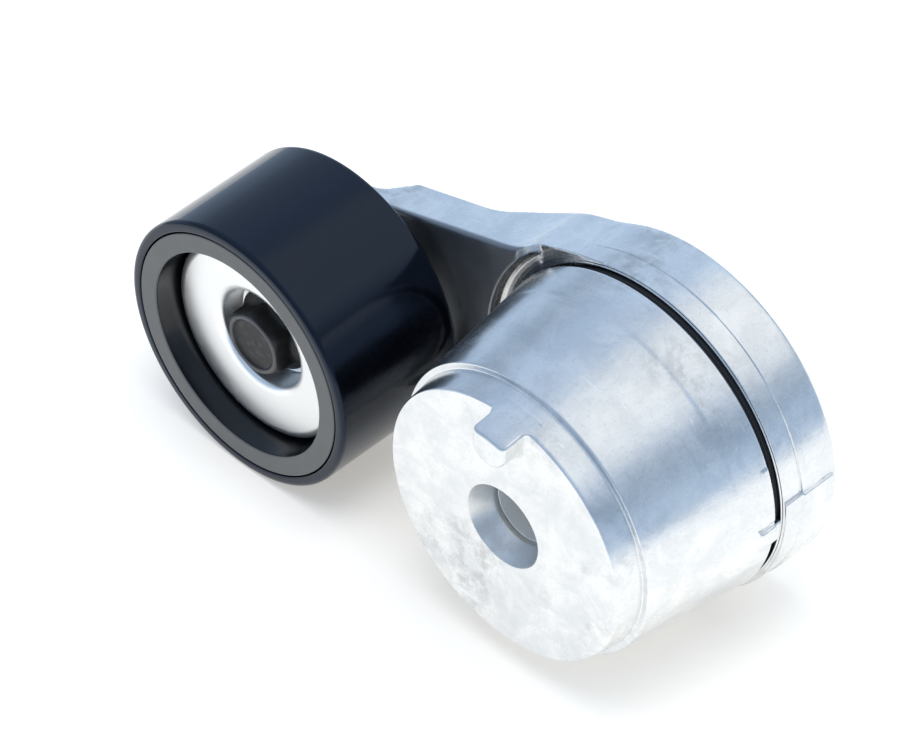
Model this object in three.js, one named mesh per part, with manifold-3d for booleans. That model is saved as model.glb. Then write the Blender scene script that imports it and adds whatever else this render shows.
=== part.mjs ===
// Automatic belt tensioner with a flat idler pulley. Millimetres, +Z up.
//
// The main pivot axis is the Y axis. The mounting face lies in the plane y = 0 and looks along -Y, towards
// the engine. The spring case runs from there to the arm at the +Y end. The arm reaches out to the -X side
// and carries the pulley beside the case. The assembly lies on its side, with the pulley rim and the rim of
// the arm's cap on one level, so the pulley centre sits a little lower than the main axis.
//
// The arm swings about the Y axis against a torsion spring, and the pulley turns on a ball bearing.
import * as THREE from 'three';
import { mergeVertices } from 'three/addons/utils/BufferGeometryUtils.js';
import Module from 'manifold-3d';

const wasm = await Module();
wasm.setup();

// ---- driving dimensions -------------------------------------------------------------------------------
const GAP = 0.3;                    // between neighbouring pieces
const ROUND = 44;                   // segments round a large circle
const SMALL_ROUND = 24;             // segments round a bearing-sized circle

// Layout
const PULLEY_R = 38;
const CAP_R = 46.5;                 // largest radius of the arm's round cap
const CENTRE_DISTANCE = 95.3;       // main axis to pulley axis
const ARM_ANGLE = Math.asin((CAP_R - PULLEY_R) / CENTRE_DISTANCE);

// Spring case
const FACE_R = 38;                  // round mounting face
const STEP_Y = 7.9;                 // length of the reduced front part
const STEP_ROOT_R = 39;             // radius that the reduced part grows to at the step
const STEP_R = 40.8;
const CASE_RIM_R = 45.5;
const CASE_RIM_Y = 46.9;
const CAVITY_R = 40.5;
const CAVITY_FLOOR_Y = 9;
const CASE_BOSS_R = 17;
const CASE_BOSS_TOP_Y = 16;

// Bolt bore and pivot shaft
const BORE_R = 8.7;
const BORE_MOUTH_R = 11.8;
const BORE_MOUTH_DEPTH = 6;
const SHAFT_R = 12;
const SHAFT_START_Y = 7.4;
const SHAFT_LIP_R = 14.4;
const SHAFT_END_Y = 68.6;

// Locating tab on the mounting face
const TAB_HEIGHT = 7.8;
const TAB_HALF_WIDTH = 5.4;
const TAB_CENTRE_R = 33;
const TAB_ANGLE = THREE.MathUtils.degToRad(86);

// Arm casting, in the arm's own frame: the pulley lies along -X
const SKIRT_Y = 49.3;               // front edge of the cap's skirt
const SKIRT_LIP_R = 45;
const SKIRT_FRONT_R = 46.1;
const SKIRT_RIDGE_Y = 55.6;
const LAND_R = 47.3;                // raised land on the skirt, opposite the arm
const LAND_FROM_DEG = -55;
const LAND_TO_DEG = 0;
const CAP_ROOF_Y = 57;              // inner side of the cap's end wall
const CAP_BACK_Y = 68;
const CAP_INNER_R = 42;
const RECESS_R = 27;                // round recess for the retaining plate
const RECESS_Y = 62.3;
const HUB_INNER_R = 14;
const HUB_OUTER_R = 18.5;
const HUB_START_Y = 18;
const WEB_FRONT_Y = 46;
const WEB_BACK_Y = 58.5;
const EYE_BACK_Y = 52;              // the web is thinner round the pulley bolt
const WEB_CLEARANCE_R = 50.3;       // room that the web leaves round the spring case
const WEB_DRAFT = 0.96;             // width of the web's back edge, as a share of its front edge
const WEB_EYE_R = 23.3;             // rounded end of the web, round the pulley bolt
const WEB_TAPER = THREE.MathUtils.degToRad(12.7); // each side of the web leans in by this much
const SEAT_R = 11.5;                // boss that the bearing is clamped against
const SEAT_ROOT_R = 14.5;
const SEAT_Y = 34.3;
const DRIVE_SQUARE = 12.9;          // pocket for a half-inch square drive
const DRIVE_DEPTH = 9;
const DRIVE_X = -66;

// Travel stops inside the cap. Angles are measured from +X towards +Z.
const TRAVEL_DEG = 55;
const DOG_CENTRE_DEG = -60;
const DOG_HALF_DEG = 4;
const RIB_WIDTH_DEG = 9;
const STOP_SLACK_DEG = 0.5;

// Torsion spring
const SPRING_WIRE_R = 3.2;
const SPRING_MEAN_R = 27;
const SPRING_TURNS = 3.75;
const SPRING_FROM_Y = 14.5;
const SPRING_TO_Y = 43;

// Pulley and its bearing, on an axis of their own parallel to Y
const PULLEY_FRONT_Y = 2;
const PULLEY_BACK_Y = 42;
const SHELL_BORE_R = 35;
const PULLEY_RECESS_R = 29.15;
const BEARING_FRONT_Y = 18.7;
const BEARING_WIDTH = 14;
const BEARING_BORE_R = 8.5;
const BEARING_R = 23.5;
const BALL_PITCH_R = 16;
const BALL_R = 4.4;
const GROOVE_R = 4.75;
const BALL_COUNT = 7;
const INNER_SHOULDER_R = 13.1;
const OUTER_SHOULDER_R = 18.9;

// Pulley bolt
const BOLT_HEAD_Y = 7.3;
const BOLT_HEX = 17;                // across flats
const BOLT_FLANGE_R = 11.5;
const BOLT_SEAT_Y = 16.9;
const BOLT_SHANK_R = 4.9;
const BOLT_END_Y = 53;

// ---- finishes -----------------------------------------------------------------------------------------
function finish(color, roughness, metalness) {
  return new THREE.MeshStandardMaterial({ color, roughness, metalness });
}

const CAST_ALUMINIUM = finish(0xc3cad3, 0.45, 0.85);
const ZINC_STEEL = finish(0xe9ebe6, 0.3, 0.9);
const BLACK_SHELL = finish(0x15181d, 0.28, 0.4);
const BLACK_HUB = finish(0x3a3b3c, 0.5, 0.3);
const BLACK_BOLT = finish(0x1b1a1a, 0.45, 0.6);
const BEARING_STEEL = finish(0xb8bcc0, 0.2, 1.0);
const SPRING_STEEL = finish(0x4a4f57, 0.4, 0.8);
const POLYMER = finish(0x101114, 0.6, 0.0);
const RUBBER = finish(0x1a1a1c, 0.8, 0.0);

// ---- shape helpers ------------------------------------------------------------------------------------
/** Twice the signed area that a closed outline goes round. */
function signedArea(outline) {
  return outline.reduce((sum, [r, y], i) => {
    const [nextR, nextY] = outline[(i + 1) % outline.length];
    return sum + r * nextY - nextR * y;
  }, 0);
}

/** A body of revolution about the Y axis. The outline lists [radius, y] once round, on either side. */
function revolve(outline, segments = ROUND) {
  const ordered = signedArea(outline) > 0 ? outline : [...outline].reverse();
  const points = [...ordered, ordered[0]].map(([r, y]) => new THREE.Vector2(r, y));
  return new THREE.LatheGeometry(points, segments);
}

/** A flat outline in the X-Z plane, made solid between two planes of constant y. */
function prism(shape, fromY, toY, curveSegments = 8) {
  const depth = toY - fromY;
  const geometry = new THREE.ExtrudeGeometry(shape, { depth, bevelEnabled: false, curveSegments });
  return geometry.rotateX(Math.PI / 2).translate(0, toY, 0);
}

/** Part of a ring about the Y axis, between two angles in degrees. */
function sector(innerR, outerR, fromDeg, toDeg, fromY, toY) {
  const from = THREE.MathUtils.degToRad(fromDeg);
  const to = THREE.MathUtils.degToRad(toDeg);
  const shape = new THREE.Shape();
  shape.absarc(0, 0, outerR, from, to, false);
  shape.absarc(0, 0, innerR, to, from, true);
  return prism(shape, fromY, toY);
}

/** A plain ring about the Y axis. */
function ring(innerR, outerR, fromY, toY, segments = ROUND) {
  return revolve([[innerR, fromY], [outerR, fromY], [outerR, toY], [innerR, toY]], segments);
}

/** A solid cylinder about the Y axis. */
function disc(radius, fromY, toY, segments = ROUND) {
  return revolve([[0, fromY], [radius, fromY], [radius, toY], [0, toY]], segments);
}

/** Triangle corners of a geometry whose shared points are merged, without triangles of no area. */
function mergedTriangles(geometry) {
  const bare = geometry.clone();
  bare.deleteAttribute('normal');
  bare.deleteAttribute('uv');
  const merged = mergeVertices(bare, 1e-4);
  const corners = merged.index.array;
  const kept = [];
  for (let i = 0; i < corners.length; i += 3) {
    const [a, b, c] = corners.slice(i, i + 3);
    if (a !== b && b !== c && c !== a) kept.push(a, b, c);
  }
  return { positions: merged.attributes.position.array, corners: kept };
}

/** A geometry as a solid that can be joined and cut. */
function solid(geometry) {
  const { positions, corners } = mergedTriangles(geometry);
  return new wasm.Manifold(new wasm.Mesh({
    numProp: 3,
    vertProperties: new Float32Array(positions),
    triVerts: new Uint32Array(corners),
  }));
}

/** A joined or cut solid as a geometry. */
function surface(body) {
  const { vertProperties, triVerts } = body.getMesh();
  const geometry = new THREE.BufferGeometry();
  geometry.setAttribute('position', new THREE.BufferAttribute(new Float32Array(vertProperties), 3));
  geometry.setIndex(new THREE.BufferAttribute(new Uint32Array(triVerts), 1));
  return geometry;
}

function join(...geometries) {
  return surface(geometries.map(solid).reduce((whole, piece) => whole.add(piece)));
}

function cut(geometry, ...tools) {
  return surface(tools.map(solid).reduce((whole, tool) => whole.subtract(tool), solid(geometry)));
}

/** A named piece, with its shared points merged. */
function piece(name, geometry, material) {
  const { positions, corners } = mergedTriangles(geometry);
  const clean = new THREE.BufferGeometry();
  clean.setAttribute('position', new THREE.BufferAttribute(new Float32Array(positions), 3));
  clean.setIndex(corners);
  clean.computeVertexNormals();
  const mesh = new THREE.Mesh(clean, material);
  mesh.name = name;
  return mesh;
}

function groupOf(...children) {
  const group = new THREE.Group();
  group.add(...children);
  return group;
}

// ---- spring case --------------------------------------------------------------------------------------
/** Open cup with a thick floor: reduced round front, step ring, slightly conical outside. */
function caseShell() {
  return revolve([
    [BORE_MOUTH_R, 0],
    [FACE_R - 0.6, 0],
    [FACE_R, 1],
    [STEP_ROOT_R, STEP_Y],
    [STEP_R - 0.3, STEP_Y],
    [STEP_R, STEP_Y + 0.5],
    [CASE_RIM_R, CASE_RIM_Y - 0.5],
    [CASE_RIM_R - 0.4, CASE_RIM_Y],
    [CAVITY_R, CASE_RIM_Y],
    [CAVITY_R, 26],
    [35.5, 23],
    [34.5, CAVITY_FLOOR_Y + 1.5],
    [33, CAVITY_FLOOR_Y],
    [CASE_BOSS_R, CAVITY_FLOOR_Y],
    [CASE_BOSS_R, CASE_BOSS_TOP_Y],
    [SHAFT_R + GAP, CASE_BOSS_TOP_Y],
    [SHAFT_R + GAP, SHAFT_START_Y - GAP],
    [BORE_R, SHAFT_START_Y - GAP],
    [BORE_R, BORE_MOUTH_DEPTH],
  ]);
}

/** Tab on the mounting face, round at its inner end and flush with the case outside. */
function locatingTab() {
  const shape = new THREE.Shape();
  const reach = FACE_R + 2;
  shape.moveTo(reach, -TAB_HALF_WIDTH);
  shape.lineTo(reach, TAB_HALF_WIDTH);
  shape.lineTo(TAB_CENTRE_R, TAB_HALF_WIDTH);
  shape.absarc(TAB_CENTRE_R, 0, TAB_HALF_WIDTH, Math.PI / 2, Math.PI * 1.5, false);
  const blank = prism(shape, -TAB_HEIGHT, 0.5).rotateY(-TAB_ANGLE);
  const trim = disc(FACE_R - 0.7, -TAB_HEIGHT - 1, 1);
  return surface(solid(blank).intersect(solid(trim)));
}

/** Small lug that bridges the gap between case and arm, with a ramp on its upper edge. */
function rimLug() {
  const lug = sector(44.6, CASE_RIM_R + 0.3, -9, -1, CASE_RIM_Y - 1, SKIRT_Y - GAP);
  const ramp = sector(43, CASE_RIM_R + 0.5, -2.5, -1, 42, CASE_RIM_Y);
  return join(lug, ramp);
}

/** Dog that reaches from the case rim into the cap, between the cap's two stop ribs. */
function stopDog() {
  const from = DOG_CENTRE_DEG - DOG_HALF_DEG;
  const to = DOG_CENTRE_DEG + DOG_HALF_DEG;
  const root = sector(37, 43.5, from, to, 44.6, CASE_RIM_Y - 0.2);
  const tooth = sector(37, 41.3, from, to, 44.6, 54);
  return join(root, tooth);
}

/** Rib on the cavity floor that the fixed end of the spring bears on. */
function caseSpringSeat() {
  return sector(24.5, 29.5, -16, -9, CAVITY_FLOOR_Y - 0.5, 17.2);
}

function springCase() {
  return join(caseShell(), locatingTab(), rimLug(), stopDog(), caseSpringSeat());
}

// ---- pivot shaft and what holds the arm on it ---------------------------------------------------------
/** Hollow steel shaft. Its end is swaged outwards over the retaining plate. */
function pivotShaft() {
  const lipY = SHAFT_END_Y - 1.4;
  return revolve([
    [BORE_R, SHAFT_START_Y],
    [SHAFT_R, SHAFT_START_Y],
    [SHAFT_R, lipY],
    [SHAFT_LIP_R, lipY],
    [SHAFT_LIP_R - 0.8, SHAFT_END_Y],
    [BORE_R, SHAFT_END_Y],
  ], SMALL_ROUND);
}

function thrustWasher() {
  return ring(SHAFT_R + 0.4, RECESS_R - 2.2, RECESS_Y + GAP, RECESS_Y + 1.7, SMALL_ROUND);
}

function retainingPlate() {
  return revolve([
    [SHAFT_R + GAP, RECESS_Y + 2],
    [RECESS_R - 1.5, RECESS_Y + 2],
    [RECESS_R - 1.5, RECESS_Y + 3.8],
    [RECESS_R - 2.2, RECESS_Y + 4.5],
    [SHAFT_R + GAP, RECESS_Y + 4.5],
  ]);
}

/** Flanged bush at the case end of the arm's hub. */
function rearBushing() {
  return revolve([
    [SHAFT_R + 0.35, CASE_BOSS_TOP_Y + GAP],
    [HUB_OUTER_R - 1, CASE_BOSS_TOP_Y + GAP],
    [HUB_OUTER_R - 1, HUB_START_Y - GAP],
    [HUB_INNER_R - GAP, HUB_START_Y - GAP],
    [HUB_INNER_R - GAP, 36],
    [SHAFT_R + 0.35, 36],
  ], SMALL_ROUND);
}

function frontBushing() {
  return ring(SHAFT_R + 0.35, HUB_INNER_R - GAP, 40, RECESS_Y, SMALL_ROUND);
}

// ---- spring and damper --------------------------------------------------------------------------------
/** Centre line of the coil: rises along +Y as it turns from +X towards +Z. */
class CoilCurve extends THREE.Curve {
  getPoint(t, target = new THREE.Vector3()) {
    const angle = t * SPRING_TURNS * 2 * Math.PI;
    const y = THREE.MathUtils.lerp(SPRING_FROM_Y, SPRING_TO_Y, t);
    return target.set(SPRING_MEAN_R * Math.cos(angle), y, SPRING_MEAN_R * Math.sin(angle));
  }
}

function torsionSpring() {
  const section = new THREE.Shape();
  section.absarc(0, 0, SPRING_WIRE_R, 0, 2 * Math.PI, false);
  const steps = Math.round(SPRING_TURNS * 16);
  const options = { steps, extrudePath: new CoilCurve(), curveSegments: 6, bevelEnabled: false };
  return new THREE.ExtrudeGeometry(section, options);
}

/** Sleeve that keeps the coil off the arm's hub. */
function springSleeve() {
  return ring(HUB_OUTER_R + GAP, HUB_OUTER_R + 2.3, 19, 44, SMALL_ROUND);
}

function dampingShoe() {
  return sector(31.5, 38.1, 90, 240, 28, 44);
}

function frictionLining() {
  return sector(38.4, CAVITY_R - 0.4, 92, 238, 28.5, 43.5);
}

/** Black ring seen in the gap between the case and the cap's skirt. */
function dustSeal() {
  return ring(CAP_INNER_R, 44.3, CASE_RIM_Y + GAP, 50);
}

// ---- arm casting --------------------------------------------------------------------------------------
/** Round cap over the open end of the case, and the long hub that turns on the shaft. */
function capAndHub() {
  return revolve([
    [HUB_INNER_R, HUB_START_Y],
    [HUB_OUTER_R, HUB_START_Y],
    [HUB_OUTER_R, CAP_ROOF_Y],
    [CAP_INNER_R, CAP_ROOF_Y],
    [CAP_INNER_R, 53],
    [44.8, 50.4],
    [SKIRT_LIP_R, SKIRT_Y],
    [SKIRT_FRONT_R, SKIRT_Y],
    [CAP_R - 0.1, SKIRT_RIDGE_Y],
    [CAP_R, CAP_BACK_Y - 1.2],
    [CAP_R - 0.9, CAP_BACK_Y],
    [RECESS_R + 1, CAP_BACK_Y],
    [RECESS_R, CAP_BACK_Y - 0.8],
    [RECESS_R, RECESS_Y],
    [HUB_INNER_R, RECESS_Y],
  ]);
}

/** Outline of the web, from the cap to the eye round the pulley bolt, and back by its mirror image. */
function webOutline() {
  const upper = [[-18.2, 40], [-10.8, 45.2], [-23.4, 42.5], [-33, 39.7], [-40, 36.3]];
  const tangent = Math.PI / 2 + WEB_TAPER;
  const shape = new THREE.Shape();
  upper.forEach(([x, z], i) => (i ? shape.lineTo(x, z) : shape.moveTo(x, z)));
  shape.absarc(-CENTRE_DISTANCE, 0, WEB_EYE_R, tangent, 2 * Math.PI - tangent, false);
  [...upper].reverse().forEach(([x, z]) => shape.lineTo(x, -z));
  return shape;
}

/** Narrows a web towards its back face, as the mould's draft does. */
function withDraft(geometry) {
  const position = geometry.attributes.position;
  for (let i = 0; i < position.count; i += 1) {
    const back = (position.getY(i) - WEB_FRONT_Y) / (CAP_BACK_Y - WEB_FRONT_Y);
    position.setZ(i, position.getZ(i) * THREE.MathUtils.lerp(1, WEB_DRAFT, back));
  }
  return geometry;
}

/** A wedge across the whole arm, drawn as an outline of [x, y] points. */
function crossWedge(outline) {
  const width = 140;
  const shape = new THREE.Shape(outline.map(([x, y]) => new THREE.Vector2(x, y)));
  const geometry = new THREE.ExtrudeGeometry(shape, { depth: width, bevelEnabled: false });
  return geometry.translate(0, 0, -width / 2);
}

/** Space under the cap and round the spring case that the web stays out of. */
function capInterior() {
  return revolve([
    [0, WEB_FRONT_Y - 5],
    [WEB_CLEARANCE_R, WEB_FRONT_Y - 5],
    [WEB_CLEARANCE_R, SKIRT_Y],
    [44.9, SKIRT_Y],
    [44.7, 50.4],
    [CAP_INNER_R - 0.1, 53],
    [CAP_INNER_R - 0.1, CAP_ROOF_Y + 0.5],
    [0, CAP_ROOF_Y + 0.5],
  ]);
}

function armWeb() {
  const blank = withDraft(prism(webOutline(), WEB_FRONT_Y, CAP_BACK_Y - 0.5, 10));
  const frontRamp = crossWedge([
    [-37.6, 45],
    [-37.6, WEB_FRONT_Y],
    [-32.2, SKIRT_Y],
    [60, SKIRT_Y],
    [60, 45],
  ]);
  const backSlope = crossWedge([
    [-130, EYE_BACK_Y],
    [-91.6, EYE_BACK_Y],
    [-84.7, WEB_BACK_Y],
    [-56.5, WEB_BACK_Y],
    [-36, CAP_BACK_Y + 0.2],
    [-36, 80],
    [-130, 80],
  ]);
  const recess = disc(RECESS_R + 0.5, RECESS_Y - 0.5, 80);
  return cut(blank, capInterior(), frontRamp, backSlope, recess);
}

/** Boss towards the pulley, against which the bearing's inner ring is clamped. */
function bearingSeat() {
  const boss = revolve([
    [0, SEAT_Y],
    [SEAT_R, SEAT_Y],
    [SEAT_R, 42],
    [SEAT_ROOT_R, WEB_FRONT_Y + 1],
    [0, WEB_FRONT_Y + 1],
  ]);
  return boss.translate(-CENTRE_DISTANCE, 0, 0);
}

function boltHole() {
  return disc(BOLT_SHANK_R + GAP, SEAT_Y - 1, 70, SMALL_ROUND).translate(-CENTRE_DISTANCE, 0, 0);
}

/** Square pocket for the wrench that turns the arm back while the belt is fitted. */
function drivePocket() {
  const box = new THREE.BoxGeometry(DRIVE_SQUARE, DRIVE_DEPTH * 2, DRIVE_SQUARE);
  return box.translate(DRIVE_X, WEB_BACK_Y, 0);
}

/** Two ribs under the cap's end wall: one stops the free arm, the other ends its travel. */
function stopRibs() {
  const arm = THREE.MathUtils.radToDeg(ARM_ANGLE);
  const centre = DOG_CENTRE_DEG - arm;
  const free = centre - DOG_HALF_DEG - STOP_SLACK_DEG;
  const loaded = centre + DOG_HALF_DEG + STOP_SLACK_DEG + TRAVEL_DEG;
  return [
    sector(36, CAP_INNER_R + 1, free - RIB_WIDTH_DEG, free, 50.4, CAP_ROOF_Y + 0.5),
    sector(36, CAP_INNER_R + 1, loaded, loaded + RIB_WIDTH_DEG, 50.4, CAP_ROOF_Y + 0.5),
  ];
}

/** Raised land on the skirt, on the side away from the pulley. */
function skirtLand() {
  return sector(45.5, LAND_R, LAND_FROM_DEG, LAND_TO_DEG, SKIRT_RIDGE_Y, CAP_BACK_Y - 2);
}

/** Rib that the moving end of the spring bears on. */
function armSpringSeat() {
  return sector(24.5, 29.5, -85, -78, 41.2, CAP_ROOF_Y + 0.5);
}

function armCasting() {
  const body = join(capAndHub(), skirtLand(), armWeb(), bearingSeat(), ...stopRibs(), armSpringSeat());
  return cut(body, boltHole(), drivePocket());
}

// ---- pulley bolt and what it clamps -------------------------------------------------------------------
/** Flange bolt with a hexagon head that has a shallow dish in its top. */
function pulleyBolt() {
  const hexagon = new THREE.Shape();
  const corner = BOLT_HEX / 2 / Math.cos(Math.PI / 6);
  for (let i = 0; i < 6; i += 1) {
    const angle = (i + 0.5) * Math.PI / 3;
    hexagon[i ? 'lineTo' : 'moveTo'](corner * Math.cos(angle), corner * Math.sin(angle));
  }
  const head = prism(hexagon, BOLT_HEAD_Y, BOLT_SEAT_Y - 1);
  const flange = revolve([
    [0, BOLT_SEAT_Y - 4],
    [BOLT_HEX / 2, BOLT_SEAT_Y - 4],
    [BOLT_FLANGE_R, BOLT_SEAT_Y - 1.4],
    [BOLT_FLANGE_R, BOLT_SEAT_Y],
    [0, BOLT_SEAT_Y],
  ], SMALL_ROUND);
  const shank = disc(BOLT_SHANK_R, BOLT_SEAT_Y - 1, BOLT_END_Y, SMALL_ROUND);
  const dish = disc(6.4, BOLT_HEAD_Y - 1, BOLT_HEAD_Y + 0.7, SMALL_ROUND);
  return cut(join(head, flange, shank), dish);
}

/** Dished sheet-metal shield: flat annulus, rolled lip, and a well whose floor the bolt clamps. */
function frontDustShield() {
  return revolve([
    [BOLT_SHANK_R + 0.4, 17.2],
    [13.4, 17.2],
    [14.2, 11],
    [15.5, 9.8],
    [26.8, 8.7],
    [28.2, 10],
    [28.2, 11.5],
    [27.2, 11.5],
    [26.6, 9.9],
    [15.8, 11.1],
    [14.6, 18.4],
    [BOLT_SHANK_R + 0.4, 18.4],
  ]);
}

function rearDustShield() {
  return revolve([
    [BOLT_SHANK_R + 0.4, 33],
    [27.2, 33],
    [27.9, 33.8],
    [27.9, 37],
    [26.9, 37],
    [26.7, 34],
    [BOLT_SHANK_R + 0.4, 34],
  ]);
}

function bearingSleeve() {
  const toY = BEARING_FRONT_Y + BEARING_WIDTH;
  return ring(BOLT_SHANK_R + 0.4, BEARING_BORE_R - GAP, BEARING_FRONT_Y, toY, SMALL_ROUND);
}

// ---- bearing ------------------------------------------------------------------------------------------
const BEARING_MIDDLE_Y = BEARING_FRONT_Y + BEARING_WIDTH / 2;
const BEARING_BACK_Y = BEARING_FRONT_Y + BEARING_WIDTH;

/** Points of a raceway: an arc about the ball centre, cut off at the shoulder radius. */
function raceway(shoulderR, steps = 4) {
  const depth = Math.abs(BALL_PITCH_R - shoulderR);
  const half = Math.acos(depth / GROOVE_R);
  const side = Math.sign(shoulderR - BALL_PITCH_R);
  return Array.from({ length: steps + 1 }, (_, i) => {
    const angle = THREE.MathUtils.lerp(-half, half, i / steps);
    return [BALL_PITCH_R + side * GROOVE_R * Math.cos(angle), BEARING_MIDDLE_Y + GROOVE_R * Math.sin(angle)];
  });
}

function bearingInnerRing() {
  const groove = raceway(INNER_SHOULDER_R);
  return revolve([
    [BEARING_BORE_R, BEARING_FRONT_Y],
    [INNER_SHOULDER_R, BEARING_FRONT_Y],
    ...groove,
    [INNER_SHOULDER_R, BEARING_BACK_Y],
    [BEARING_BORE_R, BEARING_BACK_Y],
  ], SMALL_ROUND);
}

function bearingOuterRing() {
  const groove = raceway(OUTER_SHOULDER_R);
  return revolve([
    [BEARING_R, BEARING_FRONT_Y],
    [OUTER_SHOULDER_R, BEARING_FRONT_Y],
    ...groove,
    [OUTER_SHOULDER_R, BEARING_BACK_Y],
    [BEARING_R, BEARING_BACK_Y],
  ], SMALL_ROUND);
}

function bearingSeal(fromY) {
  return ring(INNER_SHOULDER_R + 0.4, OUTER_SHOULDER_R - GAP, fromY, fromY + 1, SMALL_ROUND);
}

function ballCentre(index) {
  const angle = index / BALL_COUNT * 2 * Math.PI;
  return new THREE.Vector3(BALL_PITCH_R * Math.cos(angle), BEARING_MIDDLE_Y, BALL_PITCH_R * Math.sin(angle));
}

function bearingCage() {
  const half = GROOVE_R + 0.35;
  const body = ring(14.6, 17.4, BEARING_MIDDLE_Y - half, BEARING_MIDDLE_Y + half, SMALL_ROUND);
  const pockets = Array.from({ length: BALL_COUNT }, (_, i) => {
    const centre = ballCentre(i);
    return new THREE.SphereGeometry(GROOVE_R, 10, 6).translate(centre.x, centre.y, centre.z);
  });
  return cut(body, ...pockets);
}

function bearingBalls() {
  return Array.from({ length: BALL_COUNT }, (_, i) => {
    const ball = piece(`bearing_ball_${i + 1}`, new THREE.SphereGeometry(BALL_R, 10, 6), BEARING_STEEL);
    ball.position.copy(ballCentre(i));
    return ball;
  });
}

// ---- pulley -------------------------------------------------------------------------------------------
/** Outer tube of the pulley, with rounded edges, on which the belt runs. */
function pulleyShell() {
  return revolve([
    [SHELL_BORE_R, PULLEY_FRONT_Y],
    [PULLEY_R - 1.2, PULLEY_FRONT_Y],
    [PULLEY_R - 0.35, PULLEY_FRONT_Y + 0.35],
    [PULLEY_R, PULLEY_FRONT_Y + 1.2],
    [PULLEY_R, PULLEY_BACK_Y - 1.2],
    [PULLEY_R - 0.35, PULLEY_BACK_Y - 0.35],
    [PULLEY_R - 1.2, PULLEY_BACK_Y],
    [SHELL_BORE_R, PULLEY_BACK_Y],
  ]);
}

/** Inner wheel pressed into the tube: two collars and the web that holds the bearing. */
function pulleyHub() {
  const outerR = SHELL_BORE_R - GAP - 0.05;
  return revolve([
    [outerR, PULLEY_FRONT_Y],
    [outerR, PULLEY_BACK_Y],
    [PULLEY_RECESS_R + 0.3, PULLEY_BACK_Y],
    [28.9, 32.2],
    [BEARING_R + 0.35, 32.2],
    [BEARING_R + 0.35, 19.2],
    [28.8, 19.2],
    [PULLEY_RECESS_R, PULLEY_FRONT_Y],
  ]);
}

// ---- assembly -----------------------------------------------------------------------------------------
function fixedPieces() {
  return groupOf(
    piece('spring_case', springCase(), CAST_ALUMINIUM),
    piece('pivot_shaft', pivotShaft(), ZINC_STEEL),
    piece('retaining_plate', retainingPlate(), ZINC_STEEL),
    piece('torsion_spring', torsionSpring(), SPRING_STEEL),
    piece('dust_seal', dustSeal(), POLYMER),
  );
}

function turningPulley() {
  return groupOf(
    piece('pulley_shell', pulleyShell(), BLACK_SHELL),
    piece('pulley_hub', pulleyHub(), BLACK_HUB),
    piece('bearing_outer_ring', bearingOuterRing(), BEARING_STEEL),
    piece('bearing_seal_front', bearingSeal(BEARING_FRONT_Y + 0.5), RUBBER),
    piece('bearing_seal_rear', bearingSeal(BEARING_BACK_Y - 1.5), RUBBER),
    piece('bearing_cage', bearingCage(), BEARING_STEEL),
    ...bearingBalls(),
  );
}

function clampedPieces() {
  return groupOf(
    piece('pulley_bolt', pulleyBolt(), BLACK_BOLT),
    piece('front_dust_shield', frontDustShield(), ZINC_STEEL),
    piece('rear_dust_shield', rearDustShield(), ZINC_STEEL),
    piece('bearing_sleeve', bearingSleeve(), BEARING_STEEL),
    piece('bearing_inner_ring', bearingInnerRing(), BEARING_STEEL),
  );
}

function armPieces() {
  const onPulleyAxis = groupOf(clampedPieces(), turningPulley());
  onPulleyAxis.position.x = -CENTRE_DISTANCE;
  return groupOf(
    piece('arm_casting', armCasting(), CAST_ALUMINIUM),
    piece('pivot_bushing_rear', rearBushing(), POLYMER),
    piece('pivot_bushing_front', frontBushing(), POLYMER),
    piece('thrust_washer', thrustWasher(), POLYMER),
    piece('spring_sleeve', springSleeve(), POLYMER),
    piece('damping_shoe', dampingShoe(), POLYMER),
    piece('friction_lining', frictionLining(), RUBBER),
    onPulleyAxis,
  );
}

const arm = armPieces();
arm.rotation.y = -ARM_ANGLE;

const tensioner = groupOf(fixedPieces(), arm);
export default tensioner;
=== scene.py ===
"""Looks of an automatic belt tensioner with a flat idler pulley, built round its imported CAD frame.

The frame's axes are used throughout: the main pivot axis is Y, the mounting face looks along -Y, and the
arm carries the pulley on the -X side. Shapes are drawn in millimetres, and MM turns them into metres.
"""

import math

import bmesh
import bpy
import numpy as np
from mathutils import Matrix, Quaternion, Vector

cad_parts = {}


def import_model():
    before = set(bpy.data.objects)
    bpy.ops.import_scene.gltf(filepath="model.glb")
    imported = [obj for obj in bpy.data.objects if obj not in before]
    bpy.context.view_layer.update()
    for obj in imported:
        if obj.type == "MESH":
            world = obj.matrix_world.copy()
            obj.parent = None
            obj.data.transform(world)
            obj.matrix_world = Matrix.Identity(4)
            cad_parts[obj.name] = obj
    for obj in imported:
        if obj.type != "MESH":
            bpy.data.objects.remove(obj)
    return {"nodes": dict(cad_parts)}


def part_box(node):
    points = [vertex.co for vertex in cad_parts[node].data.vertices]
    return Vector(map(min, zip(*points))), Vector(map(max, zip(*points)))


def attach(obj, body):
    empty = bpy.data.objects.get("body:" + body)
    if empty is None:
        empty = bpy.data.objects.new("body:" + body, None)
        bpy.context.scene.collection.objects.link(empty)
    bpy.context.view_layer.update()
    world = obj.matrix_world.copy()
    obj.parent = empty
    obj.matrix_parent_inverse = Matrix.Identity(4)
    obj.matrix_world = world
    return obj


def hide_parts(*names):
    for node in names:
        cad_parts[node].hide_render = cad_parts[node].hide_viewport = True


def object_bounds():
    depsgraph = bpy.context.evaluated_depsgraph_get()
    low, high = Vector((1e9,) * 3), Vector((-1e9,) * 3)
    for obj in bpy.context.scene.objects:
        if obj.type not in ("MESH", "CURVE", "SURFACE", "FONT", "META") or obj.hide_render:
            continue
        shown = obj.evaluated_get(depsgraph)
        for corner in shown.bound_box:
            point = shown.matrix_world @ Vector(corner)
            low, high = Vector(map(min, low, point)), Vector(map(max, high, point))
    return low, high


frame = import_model()
cad_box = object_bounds()

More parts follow.
